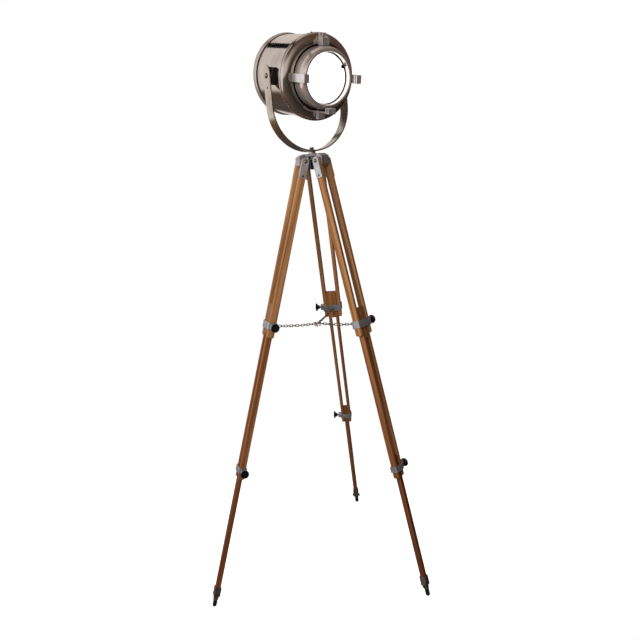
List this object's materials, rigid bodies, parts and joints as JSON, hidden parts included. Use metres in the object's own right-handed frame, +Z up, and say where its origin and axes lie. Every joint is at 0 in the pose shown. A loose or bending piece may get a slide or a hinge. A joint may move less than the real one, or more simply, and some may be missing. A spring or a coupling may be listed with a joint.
{
  "type": "tripod floor lamp",
  "caption": "Drum spotlight in a U-shaped yoke on an extending wooden tripod with clamps and a spreader chain.",
  "frame": {"origin": "on the floor, at the middle of the bounding box's footprint", "axes": "+Z up, the lamp faces -Y and tilts about an axis along X"},
  "size_m": [0.7623, 0.6542, 1.791],
  "materials": {
    "wood": "oiled brown hardwood with fine straight grain",
    "cast_alloy": "satin, lightly scratched",
    "bolts": "dull nickel plate",
    "knob_plastic": "glossy black",
    "rubber": "matt black",
    "chain_metal": "dull nickelled brass",
    "yoke_metal": "polished antique nickel over brass",
    "lamp_metal": "polished antique nickel",
    "black_trim": "matt black",
    "lens_glass": "frosted from behind, glossy in front",
    "bulb_glass": "frosted",
    "bulb_brass": "plain",
    "holder_white": "glazed white",
    "reflector_metal": "polished",
    "bracket_metal": "zinc plated"
  },
  "bodies": {
    "head": {"tripod_head": "cast_alloy"},
    "head_knob": {"head_knob": "knob_plastic"},
    "yoke": {"yoke": "yoke_metal", "yoke_collar": "bolts", "yoke_nut": "bolts"},
    "lamp": {"drum_shell": "lamp_metal", "rear_cover": "lamp_metal", "front_bezel": "lamp_metal", "lens_tube": "lamp_metal", "lens": "lens_glass", "lens_gasket": "black_trim", "filter_runners": "lamp_metal", "lamp_screws": "bolts", "trunnion_pads": "black_trim", "trunnion_washers": "bolts", "trunnion_rubbers": "rubber", "trunnion_bolts": "bolts", "reflector": "reflector_metal", "lampholder": "holder_white", "holder_bracket": "bracket_metal", "bulb": "bulb_glass", "bulb_cap": "bulb_brass", "cable_gland": "black_trim"},
    "leg_left_upper": {"leg_left_upper_rails": "wood", "leg_left_hinge_straps": "cast_alloy", "leg_left_bolts": "bolts", "leg_left_upper_clamp": "cast_alloy"},
    "leg_left_upper_knob": {"leg_left_upper_knob": "knob_plastic"},
    "leg_left_middle": {"leg_left_middle_frame": "wood", "leg_left_lower_clamp": "cast_alloy"},
    "leg_left_lower_knob": {"leg_left_lower_knob": "knob_plastic"},
    "leg_left_lower": {"leg_left_lower_rod": "wood", "leg_left_foot_ferrule": "cast_alloy", "leg_left_foot_tip": "rubber"},
    "chain_left": {"chain_left": "chain_metal", "chain_ring": "chain_metal"},
    "leg_right_upper": {"leg_right_upper_rails": "wood", "leg_right_hinge_straps": "cast_alloy", "leg_right_bolts": "bolts", "leg_right_upper_clamp": "cast_alloy"},
    "leg_right_upper_knob": {"leg_right_upper_knob": "knob_plastic"},
    "leg_right_middle": {"leg_right_middle_frame": "wood", "leg_right_lower_clamp": "cast_alloy"},
    "leg_right_lower_knob": {"leg_right_lower_knob": "knob_plastic"},
    "leg_right_lower": {"leg_right_lower_rod": "wood", "leg_right_foot_ferrule": "cast_alloy", "leg_right_foot_tip": "rubber"},
    "chain_right": {"chain_right": "chain_metal"},
    "leg_back_upper": {"leg_back_upper_rails": "wood", "leg_back_hinge_straps": "cast_alloy", "leg_back_bolts": "bolts", "leg_back_upper_clamp": "cast_alloy"},
    "leg_back_upper_knob": {"leg_back_upper_knob": "knob_plastic"},
    "leg_back_middle": {"leg_back_middle_frame": "wood", "leg_back_lower_clamp": "cast_alloy"},
    "leg_back_lower_knob": {"leg_back_lower_knob": "knob_plastic"},
    "leg_back_lower": {"leg_back_lower_rod": "wood", "leg_back_foot_ferrule": "cast_alloy", "leg_back_foot_tip": "rubber"},
    "chain_back": {"chain_back": "chain_metal"}
  },
  "joints": [
    {"name": "head_knob_turn", "type": "hinge", "parent": "head", "child": "head_knob", "pos_m": [0.09949, -0.0151, 1.386], "axis": [0, 0, 1], "continuous": true},
    {"name": "yoke_pan", "type": "hinge", "parent": "head", "child": "yoke", "pos_m": [0.09949, -0.0151, 1.429], "axis": [0, 0, 1], "continuous": true},
    {"name": "lamp_tilt", "type": "hinge", "parent": "yoke", "child": "lamp", "pos_m": [0.09949, -0.0151, 1.648], "axis": [1, 0, 0], "range_deg": [-70, 60]},
    {"name": "leg_left_fold", "type": "hinge", "parent": "head", "child": "leg_left_upper", "pos_m": [0.06494, -0.0095, 1.4], "axis": [-0.1599, -0.9871, 0], "range_deg": [0, 12.7]},
    {"name": "leg_left_middle_slide", "type": "slide", "parent": "leg_left_upper", "child": "leg_left_middle", "axis": [0.3001, -0.0486, 0.9527], "range_m": [0, 0.4]},
    {"name": "leg_left_lower_slide", "type": "slide", "parent": "leg_left_middle", "child": "leg_left_lower", "axis": [0.3001, -0.0486, 0.9527], "range_m": [0, 0.37]},
    {"name": "leg_left_upper_knob_turn", "type": "hinge", "parent": "leg_left_upper", "child": "leg_left_upper_knob", "pos_m": [-0.09652, -0.02894, 0.91033], "axis": [-0.1599, -0.9871, 0], "continuous": true},
    {"name": "leg_left_lower_knob_turn", "type": "hinge", "parent": "leg_left_middle", "child": "leg_left_lower_knob", "pos_m": [-0.2379, 0.00713, 0.45496], "axis": [-0.1599, -0.9871, 0], "continuous": true},
    {"name": "chain_left_swing", "type": "hinge", "parent": "leg_left_upper", "child": "chain_left", "pos_m": [-0.07301, 0.01284, 0.90506], "axis": [-0.1599, -0.9871, 0], "range_deg": [-88.7, 0]},
    {"name": "leg_right_fold", "type": "hinge", "parent": "head", "child": "leg_right_upper", "pos_m": [0.11192, -0.04782, 1.4], "axis": [0.9348, 0.3551, 0], "range_deg": [0, 6.8]},
    {"name": "leg_right_middle_slide", "type": "slide", "parent": "leg_right_upper", "child": "leg_right_middle", "axis": [-0.0726, 0.1912, 0.9789], "range_m": [0, 0.4]},
    {"name": "leg_right_lower_slide", "type": "slide", "parent": "leg_right_middle", "child": "leg_right_lower", "axis": [-0.0726, 0.1912, 0.9789], "range_m": [0, 0.335]},
    {"name": "leg_right_upper_knob_turn", "type": "hinge", "parent": "leg_right_upper", "child": "leg_right_upper_knob", "pos_m": [0.19131, -0.1301, 0.89686], "axis": [0.9348, 0.3551, 0], "continuous": true},
    {"name": "leg_right_lower_knob_turn", "type": "hinge", "parent": "leg_right_middle", "child": "leg_right_lower_knob", "pos_m": [0.21387, -0.22609, 0.42896], "axis": [0.9348, 0.3551, 0], "continuous": true},
    {"name": "chain_right_swing", "type": "hinge", "parent": "leg_right_upper", "child": "chain_right", "pos_m": [0.14321, -0.1302, 0.89331], "axis": [0.9348, 0.3551, 0], "range_deg": [-73.8, 0]},
    {"name": "leg_back_fold", "type": "hinge", "parent": "head", "child": "leg_back_upper", "pos_m": [0.12161, 0.01202, 1.4], "axis": [-0.7749, 0.632, 0], "range_deg": [0, 10.9]},
    {"name": "leg_back_middle_slide", "type": "slide", "parent": "leg_back_upper", "child": "leg_back_middle", "axis": [-0.1732, -0.2123, 0.9617], "range_m": [0, 0.4]},
    {"name": "leg_back_lower_slide", "type": "slide", "parent": "leg_back_middle", "child": "leg_back_lower", "axis": [-0.1732, -0.2123, 0.9617], "range_m": [0, 0.36]},
    {"name": "leg_back_upper_knob_turn", "type": "hinge", "parent": "leg_back_upper", "child": "leg_back_upper_knob", "pos_m": [0.17574, 0.14959, 0.90567], "axis": [-0.7749, 0.632, 0], "continuous": true},
    {"name": "leg_back_lower_knob_turn", "type": "hinge", "parent": "leg_back_middle", "child": "leg_back_lower_knob", "pos_m": [0.26858, 0.24285, 0.44595], "axis": [-0.7749, 0.632, 0], "continuous": true},
    {"name": "chain_back_swing", "type": "hinge", "parent": "leg_back_upper", "child": "chain_back", "pos_m": [0.20006, 0.10822, 0.90091], "axis": [-0.7749, 0.632, 0], "range_deg": [-83.9, 0]}
  ],
  "couplings": [
    {"joint": "chain_left_swing", "follows": "leg_left_fold", "ratio": -6.9055},
    {"joint": "chain_right_swing", "follows": "leg_right_fold", "ratio": -10.706},
    {"joint": "chain_back_swing", "follows": "leg_back_fold", "ratio": -7.6055}
  ]
}
